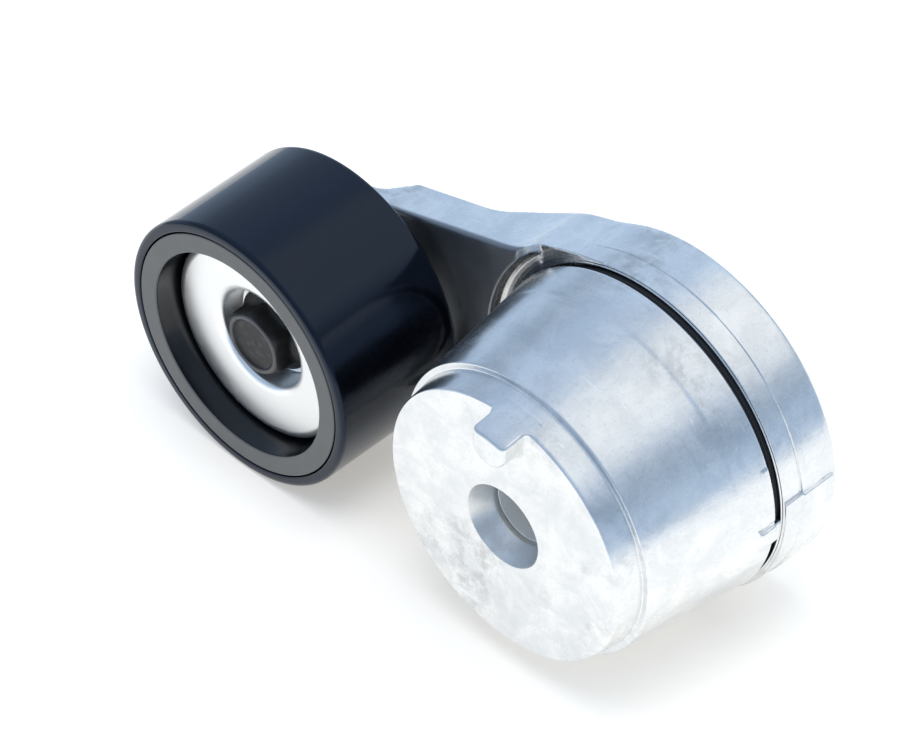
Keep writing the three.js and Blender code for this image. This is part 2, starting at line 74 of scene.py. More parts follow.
# ---- places and sizes that come from the frame --------------------------------------------------------
MM = 0.001


def box_mm(node):
    """Lowest and highest corner of a CAD node, in millimetres."""
    low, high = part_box(node)
    return low / MM, high / MM


shell_low, shell_high = box_mm("pulley_shell")
case_low, _ = box_mm("spring_case")
_, arm_high = box_mm("arm_casting")
shaft_low, shaft_high = box_mm("pivot_shaft")
plate_low, plate_high = box_mm("retaining_plate")
washer_low, washer_high = box_mm("thrust_washer")
bolt_low, bolt_high = box_mm("pulley_bolt")

PULLEY_X = (shell_low.x + shell_high.x) / 2
PULLEY_Z = (shell_low.z + shell_high.z) / 2
CENTRE_DISTANCE = math.hypot(PULLEY_X, PULLEY_Z)
ARM_ANGLE = math.atan2(-PULLEY_Z, -PULLEY_X)
PULLEY_R = (shell_high.z - shell_low.z) / 2
PULLEY_FRONT_Y = shell_low.y
PULLEY_BACK_Y = shell_high.y
TAB_TOP_Y = case_low.y
SHAFT_START_Y = shaft_low.y
SHAFT_END_Y = shaft_high.y
CAP_BACK_Y = arm_high.y
BOLT_HEAD_Y = bolt_low.y
BOLT_END_Y = bolt_high.y

# ---- driving dimensions of the finer shapes, in millimetres -------------------------------------------
# Spring case
FACE_R = 38
STEP_Y = 7.9
STEP_ROOT_R = 39
FRONT_TAPER = (STEP_ROOT_R - FACE_R) / STEP_Y
STEP_R = 40.8
CASE_RIM_R = 45.5
CASE_RIM_Y = 46.9
CAVITY_R = 40.5
CAVITY_FLOOR_Y = 9
BORE_R = 8.7
BORE_MOUTH_R = 11.8
BORE_MOUTH_DEPTH = 6
SHAFT_R = 12
PARTING_Y = 36.5
PARTING_STEP = 0.14
PARTING_SPREAD = 1.6
TAB_HALF_WIDTH = 5.4
TAB_CENTRE_R = 33
TAB_DEG = 86
SPRING_SEAT_INNER_R = 24.5
SPRING_SEAT_OUTER_R = 29.5

# Arm casting, in the arm's own frame, where the pulley lies along -X
SKIRT_Y = 49.3
SKIRT_LIP_R = 45
SKIRT_FRONT_R = 46.0
SKIRT_RIDGE_Y = 55.6
CAP_R = 46.5
CAP_ROOF_Y = 57
CAP_INNER_R = 42
RECESS_R = 27
RECESS_Y = 62.3
HUB_INNER_R = 14
HUB_OUTER_R = 18.5
HUB_START_Y = 18
WEB_FRONT_Y = 46
WEB_BACK_Y = 58.5
WEB_CLEARANCE_R = 50.3
WEB_DRAFT = 0.96
WEB_EYE_R = 23.3
WEB_EYE_STEPS = 24
WEB_TAPER = math.radians(12.7)
EYE_BACK_Y = 52
LAND_R = 47.3
LAND_FROM_DEG = -55
LAND_TO_DEG = 0
SEAT_R = 11.5
SEAT_Y = 34.3
DRIVE_HALF = 6.45
DRIVE_DEPTH = 9
DRIVE_X = -66
TRAVEL_DEG = 55
DOG_DEG = -60
DOG_HALF_DEG = 4
DOG_OUTER_R = 41.3
STOP_SLACK_DEG = 0.5
STOP_RIB_DEG = 9
STOP_RIB_START_Y = 50.4
MOULD_SHIFT = np.array([0.22, 0, -0.12])
PIN_MARK_DEG = 61.5
PIN_MARK_Y = 58
PIN_MARK_R = 1.3
PIN_MARK_DEPTH = 0.12

# Axes along Y, as the point (x, z) that each goes through
MAIN_AXIS = (0.0, 0.0)
PULLEY_CENTRE = (PULLEY_X, PULLEY_Z)

# Pulley
SHELL_BORE_R = 35
HUB_RIM_R = 34.65
PULLEY_RECESS_R = 29.15
HUB_WEB_FRONT_Y = 19.2
HUB_WEB_BACK_Y = 32.2
BEARING_POCKET_R = 23.85
SHANK_R = 4.9
BOLT_HEX_HALF = 8.5
BOLT_FLANGE_R = 11.5
BOLT_SEAT_Y = 16.9

# Fineness of the meshes
SEGMENTS = 160
ARC_STEPS = 5
FINE_STEP = 0.24
TURN_STEP_DEG = 1.6
FINE_TURN_DEG = 0.55
BOLT_STEP = 0.35
BLOCK = 6
NORMAL_REACH = 0.08
SMOOTH_WITHIN = math.cos(math.radians(28))
CREASE_DEG = 35
ROUNDED_CREASE_DEG = 60


# ---- outlines -----------------------------------------------------------------------------------------
def rounded(outline):
    """Closed outline of (a, b, reach) corners. Each corner is rounded, starting at that reach from it."""
    points = []
    for i, (a, b, reach) in enumerate(outline):
        corner = np.array((a, b), float)
        if not reach:
            points.append(corner)
            continue
        before = np.array(outline[i - 1][:2]) - corner
        after = np.array(outline[(i + 1) % len(outline)][:2]) - corner
        longest = 0.49 * min(np.linalg.norm(before), np.linalg.norm(after))
        start = corner + before / np.linalg.norm(before) * min(reach, longest)
        end = corner + after / np.linalg.norm(after) * min(reach, longest)
        for t in np.linspace(0, 1, ARC_STEPS):
            points.append((1 - t) ** 2 * start + 2 * t * (1 - t) * corner + t ** 2 * end)
    return np.array(points)


def outline_distance(a, b, outline):
    """Signed distance from the points (a, b) to a closed outline, negative inside."""
    nearest = np.full(a.shape, np.inf)
    inside = np.zeros(a.shape, bool)
    for (a0, b0), (a1, b1) in zip(outline, np.roll(outline, -1, axis=0)):
        along_a, along_b = a1 - a0, b1 - b0
        off_a, off_b = a - a0, b - b0
        share = (off_a * along_a + off_b * along_b) / (along_a ** 2 + along_b ** 2)
        share = np.clip(share, 0, 1)
        nearest = np.minimum(nearest, (off_a - share * along_a) ** 2 + (off_b - share * along_b) ** 2)
        if along_b:
            crosses = (b0 > b) != (b1 > b)
            inside ^= crosses & (off_a < along_a * off_b / along_b)
    return np.where(inside, -1, 1) * np.sqrt(nearest)


# ---- solids as distance fields: negative inside, in millimetres ---------------------------------------
def union(first, *others, blend=0.0):
    """Joins solids, with a fillet of about the blend's size where they meet."""
    for other in others:
        if blend:
            overlap = np.maximum(blend - np.abs(first - other), 0) / blend
            first = np.minimum(first, other) - overlap ** 2 * blend / 4
        else:
            first = np.minimum(first, other)
    return first


def common(first, *others, blend=0.0):
    """What solids have in common, with edges rounded by about the blend's size."""
    return -union(-first, *[-other for other in others], blend=blend)


def minus(solid, *tools, blend=0.0):
    return common(solid, *[-tool for tool in tools], blend=blend)


def slab(value, low, high):
    return np.abs(value - (low + high) / 2) - (high - low) / 2


def axis_distance(p, axis_x=0.0):
    return np.hypot(p[:, 0] - axis_x, p[:, 2])


def turned_field(p, outline, axis_x=0.0):
    return outline_distance(axis_distance(p, axis_x), p[:, 1], outline)


def disc_field(p, radius, from_y, to_y, axis_x=0.0, blend=0.0):
    return common(axis_distance(p, axis_x) - radius, slab(p[:, 1], from_y, to_y), blend=blend)


def sector_field(p, inner_r, outer_r, from_deg, to_deg, from_y, to_y, blend=0.6):
    """Part of a ring about the Y axis. Angles go from +X towards +Z."""
    distance = axis_distance(p)
    middle = math.radians((from_deg + to_deg) / 2)
    half = math.radians((to_deg - from_deg) / 2)
    turn = np.arctan2(p[:, 2], p[:, 0]) - middle
    turn = np.abs((turn + math.pi) % (2 * math.pi) - math.pi)
    sides = np.where(turn < math.pi / 2 + half, distance * np.sin(turn - half), distance)
    return common(slab(distance, inner_r, outer_r), sides, slab(p[:, 1], from_y, to_y), blend=blend)


# ---- meshes from distance fields ----------------------------------------------------------------------
def directions(field, points, reach):
    """Unit vectors along which the field grows fastest."""
    slopes = np.empty(points.shape)
    for axis in range(3):
        step = np.zeros(3)
        step[axis] = reach
        slopes[:, axis] = field(points + step) - field(points - step)
    return slopes / np.maximum(np.linalg.norm(slopes, axis=1, keepdims=True), 1e-9)


def graded(low, high, step, marks, fine=FINE_STEP):
    """Grid values from low to high. They are a step apart, and closer together near the marks."""
    spots = [low]
    while spots[-1] < high:
        nearest = min(abs(spots[-1] - mark) for mark in marks)
        spots.append(spots[-1] + min(step, max(fine, 0.35 * nearest)))
    return low + (np.array(spots) - low) * (high - low) / (spots[-1] - low)


class Grid:
    """Grid of points that a field is sampled on, along X, Y and Z."""

    def __init__(self, *axes):
        self.axes = axes
        self.counts = np.array([len(axis) for axis in axes])

    def place(self, spots):
        return spots

    def at(self, index):
        """Points of space at grid indexes, which needn't be whole."""
        spots = [np.interp(index[:, i], np.arange(len(axis)), axis) for i, axis in enumerate(self.axes)]
        return self.place(np.stack(spots, axis=1))


class RoundGrid(Grid):
    """Grid along the radius, Y and the angle about the main axis. The last angle is the first one again."""

    def __init__(self, *axes):
        super().__init__(*axes)
        self.counts[2] -= 1

    def place(self, spots):
        radius, y, angle = spots.T
        return np.stack([radius * np.cos(angle), y, radius * np.sin(angle)], axis=1)


def sampled(field, grid):
    """Field values on a grid. A block of the grid that is far from the surface takes one value."""
    blocks = -(-grid.counts // BLOCK)
    corners = np.indices(blocks).reshape(3, -1).T * BLOCK
    middles = grid.at(corners + (BLOCK - 1) / 2)
    reach = np.linalg.norm(grid.at(corners + BLOCK - 1) - middles, axis=1)
    coarse = field(middles)
    close = np.abs(coarse) < 1.4 * reach + 1
    coarse, close = coarse.reshape(blocks), close.reshape(blocks)
    for axis in range(3):
        coarse, close = np.repeat(coarse, BLOCK, axis=axis), np.repeat(close, BLOCK, axis=axis)
    kept = tuple(slice(count) for count in grid.counts)
    values, close = coarse[kept].copy(), close[kept]
    values[close] = field(grid.at(np.argwhere(close)))
    return values


def crossings(field, grid, starts, axes, values):
    """Points where the grid's edges pass through the surface."""
    ends = starts.copy()
    ends[np.arange(len(ends)), axes] += 1
    near, far = np.zeros(len(starts)), np.ones(len(starts))
    value_near, value_far = values[tuple(starts.T)], values[tuple((ends % grid.counts).T)]
    for _ in range(3):
        share = near + (far - near) * value_near / (value_near - value_far)
        points = grid.at(starts + (ends - starts) * share[:, None])
        value = field(points)
        same = (value < 0) == (value_near < 0)
        near, value_near = np.where(same, share, near), np.where(same, value, value_near)
        far, value_far = np.where(same, far, share), np.where(same, value_far, value)
    return points


def fitted_corners(owner, points, normals):
    """One mesh point for each grid cell, where the planes through its crossings meet best."""
    count = np.bincount(owner)
    centre = np.stack([np.bincount(owner, points[:, i]) / count for i in range(3)], axis=1)
    away = points - centre[owner]
    spread = np.sqrt(np.bincount(owner, np.einsum("ij,ij->i", away, away)) / count)
    reach = np.einsum("ij,ij->i", normals, away)
    matrix = np.empty((len(count), 3, 3))
    for i in range(3):
        for j in range(3):
            matrix[:, i, j] = np.bincount(owner, normals[:, i] * normals[:, j])
    matrix += np.eye(3) * 0.05
    right = np.stack([np.bincount(owner, normals[:, i] * reach) for i in range(3)], axis=1)
    offset = np.linalg.solve(matrix, right[..., None])[..., 0]
    length = np.linalg.norm(offset, axis=1)
    return centre + offset * np.minimum(1, 1.4 * spread / np.maximum(length, 1e-9))[:, None]


def contour(field, grid):
    """Points, faces and corner normals of the surface where the field is zero, by dual contouring."""
    values = sampled(field, grid)
    inside = values < 0
    edges = [np.argwhere(inside != np.roll(inside, -1, axis=axis)) for axis in range(3)]
    starts = np.concatenate(edges)
    axes = np.repeat(np.arange(3), [len(found) for found in edges])
    points = crossings(field, grid, starts, axes, values)
    normals = directions(field, points, NORMAL_REACH)

    ring = np.zeros((len(starts), 4, 3), int)
    rows = np.arange(len(starts))
    for corner, (first, second) in enumerate([(-1, -1), (0, -1), (0, 0), (-1, 0)]):
        ring[:, corner] = starts
        ring[rows, corner, (axes + 1) % 3] += first
        ring[rows, corner, (axes + 2) % 3] += second
    entering = ~inside[tuple(starts.T)]
    ring[entering] = ring[entering][:, ::-1]
    cells = np.ravel_multi_index((ring % grid.counts).reshape(-1, 3).T, grid.counts)
    _, owner = np.unique(cells, return_inverse=True)
    corners = fitted_corners(owner, np.repeat(points, 4, axis=0), np.repeat(normals, 4, axis=0))
    faces = owner.reshape(-1, 4)
    return corners, faces, corner_normals(field, corners, faces)


def corner_normals(field, points, faces):
    """Normals at each face's corners: smooth where the surface is round, the face's own beside an edge."""
    corners = points[faces]
    own = np.cross(corners[:, 2] - corners[:, 0], corners[:, 3] - corners[:, 1])
    own /= np.maximum(np.linalg.norm(own, axis=1, keepdims=True), 1e-12)
    smooth = directions(field, points, NORMAL_REACH)[faces]
    differs = np.einsum("fij,fj->fi", smooth, own) < SMOOTH_WITHIN
    edged = differs.any(axis=1)
    flat = np.zeros(own.shape)
    flat[edged] = directions(field, corners[edged].mean(axis=1), NORMAL_REACH)
    return np.where(differs[..., None], flat[:, None, :], smooth)


# ---- Blender pieces -----------------------------------------------------------------------------------
def into_arm_frame(points):
    """Turns points or normals of the arm's own frame to where the arm stands at rest."""
    cos, sin = math.cos(ARM_ANGLE), math.sin(ARM_ANGLE)
    x, y, z = points.T
    return np.stack([x * cos - z * sin, y, x * sin + z * cos], axis=1)


def piece(name, mesh, body, material, stands_for):
    """A finished piece that rides on a body and stands for CAD nodes."""
    made = bpy.data.objects.new(name, mesh)
    bpy.context.scene.collection.objects.link(made)
    mesh.materials.append(material)
    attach(made, body)
    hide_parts(*stands_for)
    return made


def contoured_mesh(name, field, grid, turn=None):
    points, faces, normals = contour(field, grid)
    normals = normals.reshape(-1, 3)
    if turn:
        points, normals = turn(points), turn(normals)
    mesh = bpy.data.meshes.new(name)
    mesh.from_pydata((points * MM).tolist(), [], faces.tolist())
    mesh.shade_smooth()
    mesh.normals_split_custom_set(normals.tolist())
    return mesh


def turned_mesh(name, outline, centre, sharp_deg):
    """Mesh of revolution about an axis along Y through centre. The outline lists (radius, y, reach)."""
    profile = rounded(outline)
    following = np.roll(profile, -1, axis=0)
    area = np.sum(profile[:, 0] * following[:, 1] - following[:, 0] * profile[:, 1])
    if area < 0:
        profile = profile[::-1]
    angles = np.arange(SEGMENTS) * 2 * math.pi / SEGMENTS
    made = bmesh.new()
    rings = [
        [
            made.verts.new((
                (centre[0] + radius * math.cos(angle)) * MM,
                y * MM,
                (centre[1] + radius * math.sin(angle)) * MM,
            ))
            for angle in angles
        ]
        for radius, y in profile
    ]
    for here, there in zip(rings, rings[1:] + rings[:1]):
        for i in range(SEGMENTS):
            after = (i + 1) % SEGMENTS
            made.faces.new((here[i], there[i], there[after], here[after]))
    mesh = bpy.data.meshes.new(name)
    made.to_mesh(mesh)
    made.free()
    mesh.shade_smooth()
    mesh.set_sharp_from_angle(angle=math.radians(sharp_deg))
    return mesh


def turned_piece(name, outline, body, material, node, centre=MAIN_AXIS, sharp_deg=CREASE_DEG):
    """A piece of revolution. Its broad faces rule the shading, so that roundings look crisp beside them."""
    made = piece(name, turned_mesh(name, outline, centre, sharp_deg), body, material, [node])
    weighted = made.modifiers.new("even_shading", "WEIGHTED_NORMAL")
    weighted.keep_sharp = True
    return made


# ---- materials ----------------------------------------------------------------------------------------
class Shader:
    """A procedural material, built node by node. Lengths in it are metres of object space."""

    def __init__(self, name, metallic, coat=0.0):
        self.material = bpy.data.materials.new(name)
        self.material.use_nodes = True
        self.tree = self.material.node_tree
        self.surface = self.tree.nodes["Principled BSDF"]
        self.surface.inputs["Metallic"].default_value = metallic
        self.surface.inputs["Coat Weight"].default_value = coat
        self.place = self.node("ShaderNodeTexCoord").outputs["Object"]
        self.bump = None

    @classmethod
    def of_world(cls, world):
        """The same way of building nodes, for a world instead of a material."""
        made = cls.__new__(cls)
        made.tree = world.node_tree
        made.place = made.node("ShaderNodeTexCoord").outputs["Generated"]
        return made

    def node(self, kind, inputs=None, **settings):
        made = self.tree.nodes.new(kind)
        for name, value in settings.items():
            setattr(made, name, value)
        for key, value in (inputs or {}).items():
            if isinstance(value, bpy.types.NodeSocket):
                self.tree.links.new(value, made.inputs[key])
            else:
                made.inputs[key].default_value = value
        return made

    def stretched(self, scale):
        return self.node("ShaderNodeMapping", {"Vector": self.place, "Scale": scale}).outputs["Vector"]

    def noise(self, scale, detail=3.0, roughness=0.55, distortion=0.0, stretch=None):
        vector = self.stretched(stretch) if stretch else self.place
        inputs = {
            "Vector": vector,
            "Scale": scale,
            "Detail": detail,
            "Roughness": roughness,
            "Distortion": distortion,
        }
        return self.node("ShaderNodeTexNoise", inputs).outputs["Fac"]

    def math(self, operation, first, second=0.0):
        return self.node("ShaderNodeMath", {0: first, 1: second}, operation=operation).outputs[0]

    def between(self, value, low, high, to_low=0.0, to_high=1.0):
        """Maps a value from one range to another, with soft ends."""
        inputs = {"Value": value, "From Min": low, "From Max": high, "To Min": to_low, "To Max": to_high}
        made = self.node("ShaderNodeMapRange", inputs, interpolation_type="SMOOTHSTEP")
        return made.outputs["Result"]

    def mix(self, share, first, second):
        made = self.node("ShaderNodeMix", {"Factor": share}, data_type="RGBA")
        for socket, value in ((made.inputs[6], first), (made.inputs[7], second)):
            if isinstance(value, bpy.types.NodeSocket):
                self.tree.links.new(value, socket)
            else:
                socket.default_value = (*value, 1.0)
        return made.outputs[2]

    def axis_radius(self, centre=(0.0, 0.0)):
        """Distance from an axis along Y through centre, in metres."""
        apart = self.node("ShaderNodeSeparateXYZ", {0: self.place})
        x = self.math("SUBTRACT", apart.outputs["X"], centre[0])
        z = self.math("SUBTRACT", apart.outputs["Z"], centre[1])
        squares = self.math("ADD", self.math("MULTIPLY", x, x), self.math("MULTIPLY", z, z))
        return self.math("SQRT", squares)

    def along_y(self):
        return self.node("ShaderNodeSeparateXYZ", {0: self.place}).outputs["Y"]

    def rings(self, radius, pitch):
        """Fine uneven circles about an axis, as a turning tool leaves them."""
        inputs = {"W": self.math("MULTIPLY", radius, 1 / pitch), "Scale": 1.0, "Detail": 3.0}
        return self.node("ShaderNodeTexNoise", inputs, noise_dimensions="1D").outputs["Fac"]

    def relief(self, height, distance, strength=1.0):
        """Adds a relief of that height, in metres, to the surface."""
        inputs = {"Height": height, "Distance": distance, "Strength": strength}
        if self.bump:
            inputs["Normal"] = self.bump
        self.bump = self.node("ShaderNodeBump", inputs).outputs["Normal"]

    def done(self, color, roughness):
        for name, value in (("Base Color", color), ("Roughness", roughness)):
            if isinstance(value, bpy.types.NodeSocket):
                self.tree.links.new(value, self.surface.inputs[name])
            elif name == "Base Color":
                self.surface.inputs[name].default_value = (*value, 1.0)
            else:
                self.surface.inputs[name].default_value = value
        if self.bump:
            self.tree.links.new(self.bump, self.surface.inputs["Normal"])
        return self.material


def cast_aluminium(name):
    """Die-cast aluminium: cloudy patches, flow streaks, dull stains, a fine speckle and light scratches.

    The countersunk bore is turned. The web's front gets painted shade: it is darkened and made rougher where
    it lies in the shadow of the pulley and the case.
    """
    shader = Shader(name, metallic=1.0)
    clouds = shader.between(shader.noise(95, detail=8, roughness=0.62, distortion=0.6), 0.36, 0.64)
    flow = shader.noise(130, detail=6, roughness=0.65, stretch=(1.2, 0.35, 1.2))
    streaks = shader.between(flow, 0.42, 0.66)
    stain_places = shader.between(shader.noise(31, detail=3), 0.50, 0.68)
    stains = shader.between(shader.noise(230, detail=8, roughness=0.7), 0.42, 0.62)
    stains = shader.math("MULTIPLY", stain_places, stains)
    speckle = shader.between(shader.noise(1100, detail=3), 0.52, 0.72)
    scratches = shader.between(shader.noise(260, detail=2, stretch=(0.16, 2.4, 1.0)), 0.69, 0.72)

    color = shader.mix(clouds, (0.775, 0.785, 0.79), (0.90, 0.90, 0.885))
    color = shader.mix(shader.math("MULTIPLY", streaks, 0.35), color, (0.68, 0.70, 0.71))
    color = shader.mix(shader.math("MULTIPLY", stains, 0.5), color, (0.42, 0.425, 0.42))
    color = shader.mix(shader.math("MULTIPLY", speckle, 0.22), color, (0.52, 0.54, 0.55))
    color = shader.mix(shader.math("MULTIPLY", scratches, 0.5), color, (0.95, 0.96, 0.97))
    radius = shader.axis_radius()
    in_bore = shader.between(radius, (BORE_MOUTH_R - 0.1) * MM, (BORE_MOUTH_R + 0.3) * MM, 1.0, 0.0)
    color = shader.mix(shader.math("MULTIPLY", in_bore, 0.5), color, (0.66, 0.65, 0.63))
    # Painted shade: the web's front, in the shadow of the pulley and the case, is darkened to blue-grey and
    # made rougher.
    outside_cap = shader.between(radius, (WEB_CLEARANCE_R - 1.5) * MM, WEB_CLEARANCE_R * MM)
    web_front = shader.between(shader.along_y(), (WEB_FRONT_Y + 0.6) * MM, (WEB_FRONT_Y + 1.6) * MM, 1.0, 0.0)
    painted_web_shade = shader.math("MULTIPLY", outside_cap, web_front)
    color = shader.mix(shader.math("MULTIPLY", painted_web_shade, 0.8), color, (0.20, 0.215, 0.245))
    dull = shader.math("ADD", shader.math("MULTIPLY", stains, 0.10), shader.math("MULTIPLY", clouds, 0.05))
    dull = shader.math("ADD", dull, shader.math("MULTIPLY", in_bore, 0.08))
    dull = shader.math("ADD", dull, shader.math("MULTIPLY", painted_web_shade, 0.18))
    roughness = shader.math("ADD", dull, 0.23)

    shader.relief(shader.noise(60, detail=3), 0.0001)
    shader.relief(flow, 0.00005)
    shader.relief(clouds, 0.00001)
    shader.relief(shader.noise(900, detail=2), 0.000006)
    shader.relief(shader.math("MULTIPLY", shader.rings(radius, 0.00025), in_bore), 0.00002)
    return shader.done(color, roughness)


def zinc_steel(name, centre, metallic=1.0):
    """Bright zinc plating on pressed steel, with faint turning lines round its axis."""
    shader = Shader(name, metallic)
    cloud = shader.noise(60, detail=4)
    color = shader.mix(cloud, (0.93, 0.935, 0.92), (0.98, 0.98, 0.965))
    shader.relief(shader.rings(shader.axis_radius(centre), 0.0004), 0.000002)
    shader.relief(shader.noise(1100, detail=2), 0.000004)
    return shader.done(color, shader.between(cloud, 0.3, 0.7, 0.28, 0.36))


def black_shell(name):
    """Smooth blue-black lacquered steel of the pulley's running surface."""
    shader = Shader(name, metallic=0.0)
    shader.surface.inputs["Specular Tint"].default_value = (0.50, 0.66, 0.95, 1.0)
    wear = shader.between(shader.noise(220, detail=4, stretch=(1, 3, 1)), 0.6, 0.72)
    shader.relief(shader.rings(shader.along_y(), 0.0011), 0.000002)
    shader.relief(shader.noise(900, detail=2), 0.000004)
    color = shader.mix(wear, (0.0022, 0.0026, 0.0042), (0.005, 0.0056, 0.008))
    return shader.done(color, shader.between(wear, 0, 1, 0.12, 0.18))


def black_hub(name, centre):
    """Pulley's inner wheel: turned grey front face with fine circles, and black lacquer in the recess."""
    shader = Shader(name, metallic=0.0)
    radius = shader.axis_radius(centre)
    cloud = shader.noise(180, detail=4)
    face = shader.between(shader.along_y(), (PULLEY_FRONT_Y + 0.1) * MM, (PULLEY_FRONT_Y + 0.5) * MM, 1, 0)
    turned = shader.mix(cloud, (0.105, 0.104, 0.098), (0.14, 0.138, 0.13))
    color = shader.mix(face, (0.003, 0.0035, 0.005), turned)
    shader.relief(shader.rings(radius, 0.0004), 0.000004)
    shader.relief(shader.noise(1400, detail=2), 0.000008)
    return shader.done(color, shader.between(face, 0, 1, 0.2, 0.42))


def black_bolt(name):
    """Black phosphate, dark in the dished top and rubbed greyer on the head's rim."""
    shader = Shader(name, metallic=0.0)
    rubbed = shader.between(shader.noise(500, detail=4), 0.48, 0.66)
    color = shader.mix(rubbed, (0.005, 0.0045, 0.005), (0.012, 0.0105, 0.010))
    rim = shader.between(shader.along_y(), (BOLT_HEAD_Y + 0.1) * MM, (BOLT_HEAD_Y + 0.5) * MM, 1, 0)
    color = shader.mix(shader.math("MULTIPLY", rim, 0.9), color, (0.12, 0.115, 0.11))
    shader.relief(shader.noise(1600, detail=3), 0.000015)
    return shader.done(color, shader.between(rubbed, 0, 1, 0.48, 0.38))


def bearing_steel(name):
    shader = Shader(name, metallic=1.0)
    cloud = shader.noise(300, detail=3)
    shader.relief(shader.noise(2500, detail=2, stretch=(1, 0.1, 1)), 0.000006)
    return shader.done(shader.mix(cloud, (0.60, 0.61, 0.63), (0.72, 0.73, 0.74)), 0.2)


def spring_steel(name):
    """Dark wire with shot-peening dimples."""
    shader = Shader(name, metallic=0.9)
    cloud = shader.noise(200, detail=4)
    shader.relief(shader.noise(2200, detail=1), 0.00008)
    return shader.done(shader.mix(cloud, (0.06, 0.07, 0.08), (0.16, 0.17, 0.19)), 0.42)


def moulded_polymer(name, color):
    shader = Shader(name, metallic=0.0)
    cloud = shader.noise(150, detail=3)
    lighter = tuple(min(1.0, 1.4 * c) for c in color)
    shader.relief(shader.noise(1800, detail=2), 0.00003)
    return shader.done(shader.mix(cloud, color, lighter), shader.between(cloud, 0.3, 0.7, 0.5, 0.62))


def rubber(name):
    shader = Shader(name, metallic=0.0)
    cloud = shader.noise(260, detail=4)
    shader.relief(shader.noise(2400, detail=3), 0.00005)
    return shader.done(shader.mix(cloud, (0.018, 0.018, 0.019), (0.035, 0.035, 0.036)), 0.75)


PULLEY_AXIS = (PULLEY_X * MM, PULLEY_Z * MM)
ALUMINIUM = cast_aluminium("cast_aluminium")
ZINC = zinc_steel("zinc_steel", MAIN_AXIS)
ZINC_SHIELD = zinc_steel("zinc_shield", PULLEY_AXIS)
SHAFT_STEEL = zinc_steel("shaft_steel", MAIN_AXIS, metallic=0.5)
SHELL_BLACK = black_shell("black_shell")
HUB_BLACK = black_hub("black_hub", PULLEY_AXIS)
BOLT_BLACK = black_bolt("black_bolt")
BEARING = bearing_steel("bearing_steel")
SPRING = spring_steel("spring_steel")
POLYMER = moulded_polymer("polymer", (0.014, 0.015, 0.018))
BRONZE_POLYMER = moulded_polymer("bushing_polymer", (0.10, 0.075, 0.05))
RUBBER = rubber("rubber")

NODE_MATERIALS = {
    "torsion_spring": SPRING,
    "pivot_bushing_rear": BRONZE_POLYMER,
    "pivot_bushing_front": BRONZE_POLYMER,
    "spring_sleeve": POLYMER,
    "damping_shoe": POLYMER,
    "friction_lining": RUBBER,
    "bearing_seal_front": RUBBER,
    "bearing_seal_rear": RUBBER,
}


# ---- spring case --------------------------------------------------------------------------------------
CASE_OUTLINE = rounded([
    (BORE_MOUTH_R, 0, 0.15),
    (FACE_R, 0, 0.8),
    (STEP_ROOT_R, STEP_Y, 0.3),
    (STEP_R, STEP_Y, 0.4),
    (CASE_RIM_R, CASE_RIM_Y, 0.6),
    (CAVITY_R, CASE_RIM_Y, 0.5),
    (CAVITY_R, 26, 2),
    (35.5, 23, 2),
    (34.5, CAVITY_FLOOR_Y, 2),
    (17, CAVITY_FLOOR_Y, 1.5),
    (17, 16, 0.5),
    (SHAFT_R + 0.3, 16, 0.3),
    (SHAFT_R + 0.3, SHAFT_START_Y - 0.3, 0),
    (BORE_R, SHAFT_START_Y - 0.3, 0),
    (BORE_R, BORE_MOUTH_DEPTH, 0.3),
])


def front_cone(p):
    """Slightly conical outside of the case in front of its step, and of the tab."""
    return axis_distance(p) - FACE_R - FRONT_TAPER * p[:, 1]


def tab_field(p):
    """Locating tab: a straight bar with a round inner end, trimmed by the mounting face's rim."""
    cos, sin = math.cos(math.radians(TAB_DEG)), math.sin(math.radians(TAB_DEG))
    outwards = p[:, 0] * cos + p[:, 2] * sin - TAB_CENTRE_R
    across = -p[:, 0] * sin + p[:, 2] * cos
    bar = np.hypot(np.minimum(outwards, 0), across) - TAB_HALF_WIDTH
    trimmed = common(bar, front_cone(p), blend=0.8)
    return common(trimmed, slab(p[:, 1], TAB_TOP_Y, 3), blend=1.8)


def case_field(p):
    """Cup with its lug, ramp, stop dog, spring seat and tab. It is a little wider past the parting line."""
    shell = turned_field(p, CASE_OUTLINE)
    past_parting = np.clip((p[:, 1] - PARTING_Y) / PARTING_SPREAD + 0.5, 0, 1)
    growth = PARTING_STEP * past_parting ** 2 * (3 - 2 * past_parting)
    shell = shell - np.where(axis_distance(p) > CAVITY_R + 1, growth, 0)
    lug = sector_field(p, 43.6, CASE_RIM_R + 0.4, -9, -1, CASE_RIM_Y - 2, SKIRT_Y - 0.3)
    ramp = sector_field(p, 42.5, CASE_RIM_R + 0.7, -2.6, -1, 42, CASE_RIM_Y)
    dog_from, dog_to = DOG_DEG - DOG_HALF_DEG, DOG_DEG + DOG_HALF_DEG
    dog_root = sector_field(p, 37, 43, dog_from, dog_to, 44.4, CASE_RIM_Y - 0.2)
    dog = sector_field(p, 37, DOG_OUTER_R, dog_from, dog_to, 44.4, 54)
    seat_radii = (SPRING_SEAT_INNER_R, SPRING_SEAT_OUTER_R)
    spring_seat = sector_field(p, *seat_radii, -16, -9, CAVITY_FLOOR_Y - 1, 17.2)
    rim_flash = sector_field(p, 43, CASE_RIM_R + 0.22, 1, 21, 44.9, CASE_RIM_Y)
    body = union(shell, lug, ramp, dog_root, dog, spring_seat, rim_flash, blend=0.5)
    body = union(body, tab_field(p), blend=2.0)
    return np.where(p[:, 1] < STEP_Y / 2, np.maximum(body, front_cone(p)), body)


def turn_grid(low_deg, fine_zones):
    """Angles of a whole turn from low_deg on, in radians, with finer steps inside the zones."""
    marks = np.concatenate([np.arange(start, end, 3.0) for start, end in fine_zones])
    return np.radians(graded(low_deg, low_deg + 360.0, TURN_STEP_DEG, marks, FINE_TURN_DEG))


